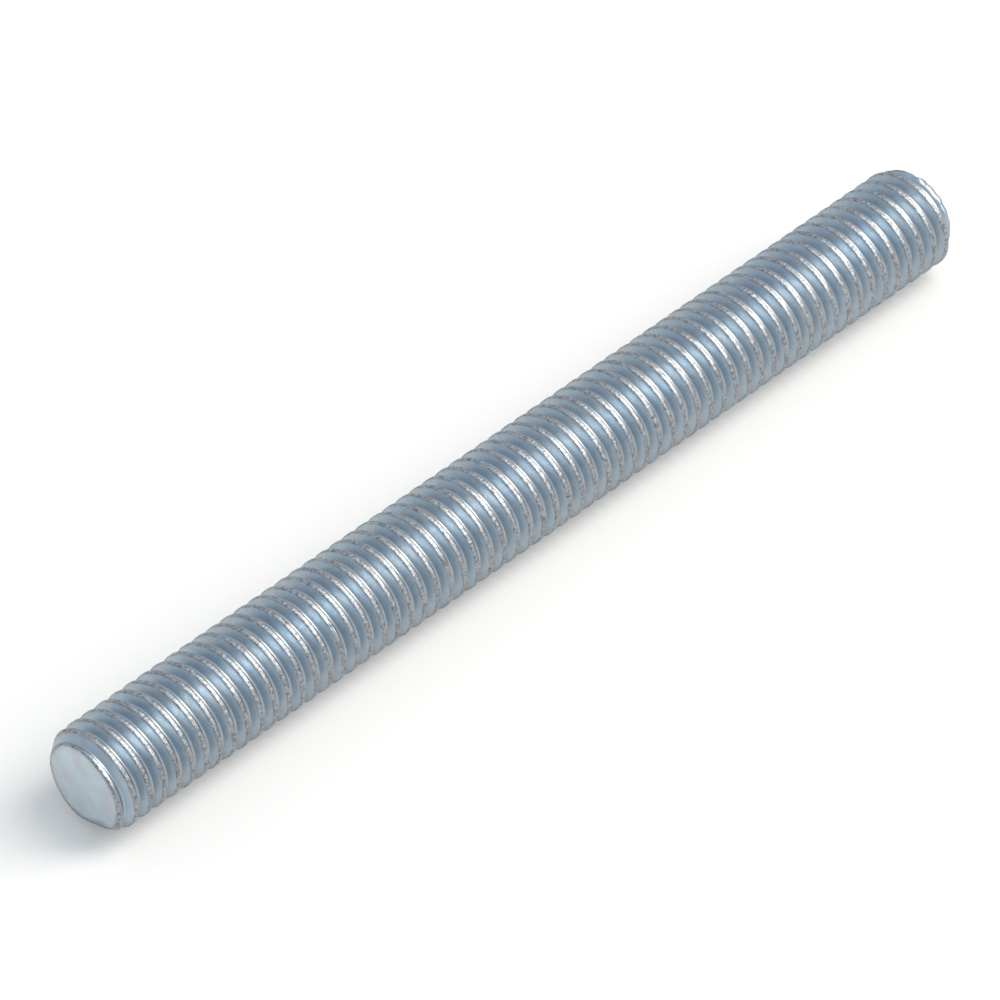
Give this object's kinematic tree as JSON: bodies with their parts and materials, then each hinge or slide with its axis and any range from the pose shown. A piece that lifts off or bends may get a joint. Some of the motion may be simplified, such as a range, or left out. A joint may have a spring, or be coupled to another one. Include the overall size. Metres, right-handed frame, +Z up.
{
  "type": "threaded rod",
  "caption": "Short steel stud with a right-hand M8 x 1.25 thread over its whole length and bevelled ends, zinc plated; joins two threaded parts or takes nuts from either end.",
  "frame": {"origin": "on the surface the rod lies on, under the middle of its length", "axes": "+X along the rod, towards the end that faces away in the usual view; +Z up, square to the surface it lies on"},
  "size_m": [0.08, 0.0078, 0.0078],
  "materials": {
    "zinc_plate": "bright zinc plate with a pale blue passivate over rolled steel, rougher and greyer along the crests"
  },
  "bodies": {
    "root": {"threaded_rod": "zinc_plate"}
  },
  "joints": []
}
